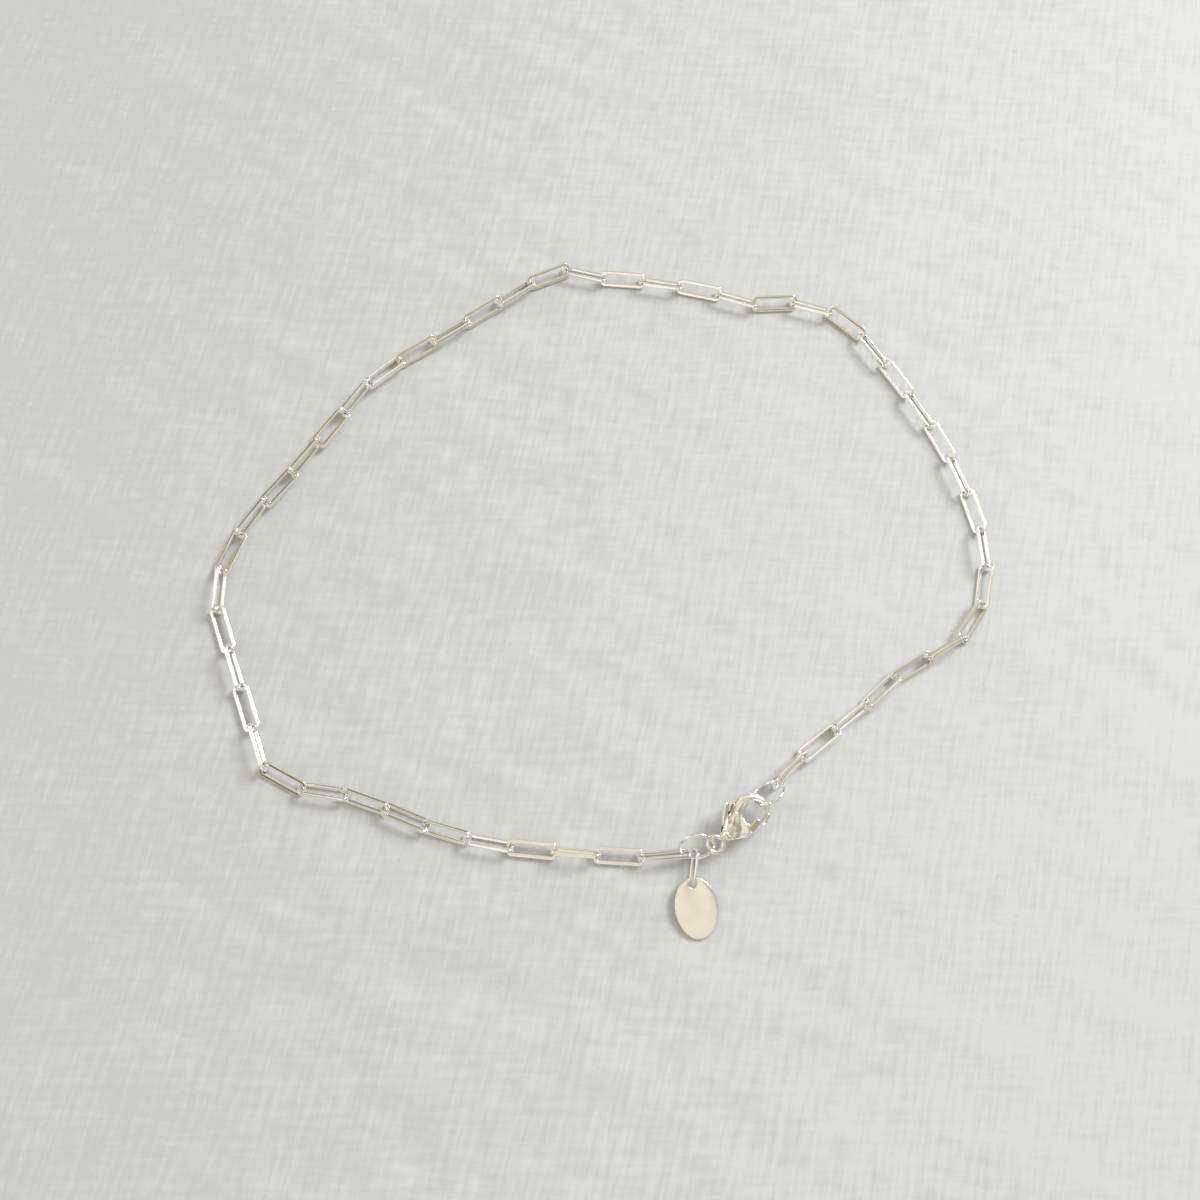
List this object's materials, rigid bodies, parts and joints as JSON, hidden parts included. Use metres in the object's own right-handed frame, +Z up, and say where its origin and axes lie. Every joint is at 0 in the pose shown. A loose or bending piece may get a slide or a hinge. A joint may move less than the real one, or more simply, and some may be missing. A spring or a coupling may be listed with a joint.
{
  "type": "chain anklet",
  "caption": "Closed loop of long flat-sided box links with a trigger clasp, two jump rings and a small oval tag, lying flat.",
  "frame": {"origin": "middle of the anklet's box, on the surface it lies on", "axes": "+Z up from the surface, +X along the longer side of the loop, the tag hangs towards -Y"},
  "size_m": [0.0898, 0.0796, 0.0039],
  "materials": {
    "silver_chain": "polished silver",
    "silver_ring": "polished silver",
    "silver_tag": "polished silver",
    "silver_clasp": "polished silver"
  },
  "bodies": {
    "anklet": {"link_01": "silver_chain", "link_02": "silver_chain", "link_03": "silver_chain", "link_04": "silver_chain", "link_05": "silver_chain", "link_06": "silver_chain", "link_07": "silver_chain", "link_08": "silver_chain", "link_09": "silver_chain", "link_10": "silver_chain", "link_11": "silver_chain", "link_12": "silver_chain", "link_13": "silver_chain", "link_14": "silver_chain", "link_15": "silver_chain", "link_16": "silver_chain", "link_17": "silver_chain", "link_18": "silver_chain", "link_19": "silver_chain", "link_20": "silver_chain", "link_21": "silver_chain", "link_22": "silver_chain", "link_23": "silver_chain", "link_24": "silver_chain", "link_25": "silver_chain", "link_26": "silver_chain", "link_27": "silver_chain", "link_28": "silver_chain", "link_29": "silver_chain", "link_30": "silver_chain", "link_31": "silver_chain", "link_32": "silver_chain", "link_33": "silver_chain", "link_34": "silver_chain", "link_35": "silver_chain", "link_36": "silver_chain", "link_37": "silver_chain", "link_38": "silver_chain", "link_39": "silver_chain", "link_40": "silver_chain", "link_41": "silver_chain", "link_42": "silver_chain", "link_43": "silver_chain", "link_44": "silver_chain", "link_45": "silver_chain", "link_46": "silver_chain", "link_47": "silver_chain", "link_48": "silver_chain", "link_49": "silver_chain", "link_50": "silver_chain", "ring_tag_side": "silver_ring", "ring_catch": "silver_ring", "tag_ring": "silver_ring", "tag": "silver_tag", "clasp_body": "silver_clasp", "clasp_rivet": "silver_clasp"},
    "lever": {"clasp_lever": "silver_clasp"}
  },
  "joints": [
    {"name": "clasp_lever_hinge", "type": "hinge", "parent": "anklet", "child": "lever", "pos_m": [0.01853, -0.02745, 0.00213], "axis": [0.1456, -0.0946, 0.9848], "range_deg": [0, 20], "stiffness_Nm_per_rad": 0.004, "springref_deg": -8.59}
  ]
}
